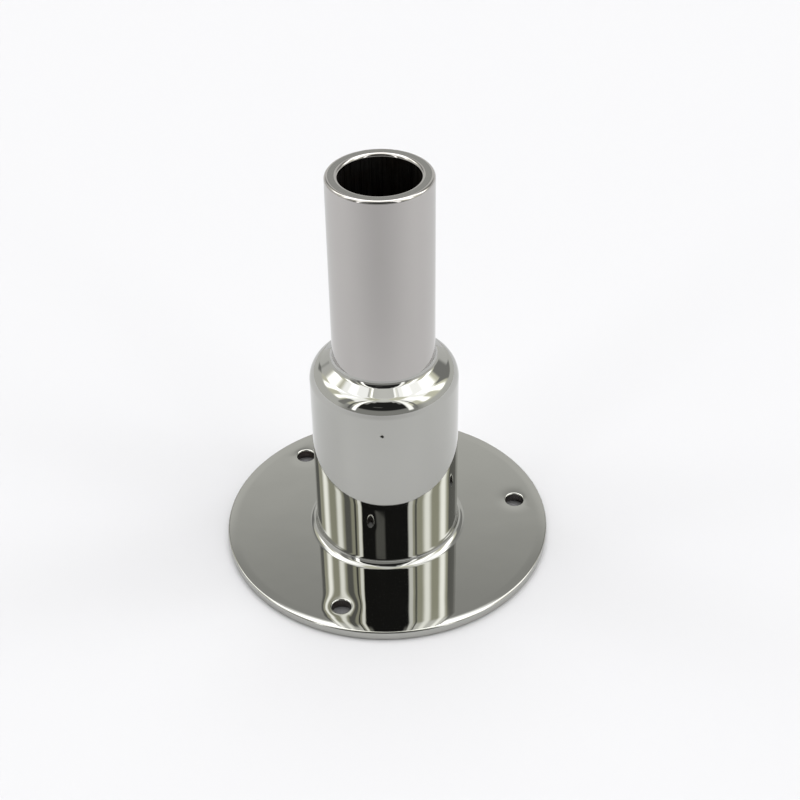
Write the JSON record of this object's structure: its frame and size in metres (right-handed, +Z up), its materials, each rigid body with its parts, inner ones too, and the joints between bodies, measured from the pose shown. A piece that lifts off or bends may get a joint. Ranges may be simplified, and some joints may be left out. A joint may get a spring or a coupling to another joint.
{
  "type": "stanchion base",
  "caption": "Polished stainless deck fitting: a round screw-down flange, a short barrel with a rounded shoulder, and an open tube neck standing above it.",
  "frame": {"origin": "centre of the flange's underside, on the surface it is screwed to", "axes": "+Z up the common axis of flange, barrel and neck, out of the open rim; +X ten degrees short of the first screw hole"},
  "size_m": [0.08, 0.08, 0.1],
  "materials": {
    "polished_flange": "mirror-polished stainless steel, edges rounded by the buffing wheel",
    "polished_barrel": "mirror-polished stainless steel, faint draw marks",
    "polished_tube": "mirror-polished stainless steel outside, satin cut rim, dull drawn bore",
    "buffed_weld": "weld bead ground hollow and buffed bright",
    "ground_weld": "weld bead ground flush, left with its grinding marks"
  },
  "bodies": {
    "root": {"base_flange": "polished_flange", "barrel_sleeve": "polished_barrel", "neck_tube": "polished_tube", "foot_weld": "buffed_weld", "neck_weld": "buffed_weld", "underside_weld": "ground_weld"}
  },
  "joints": []
}
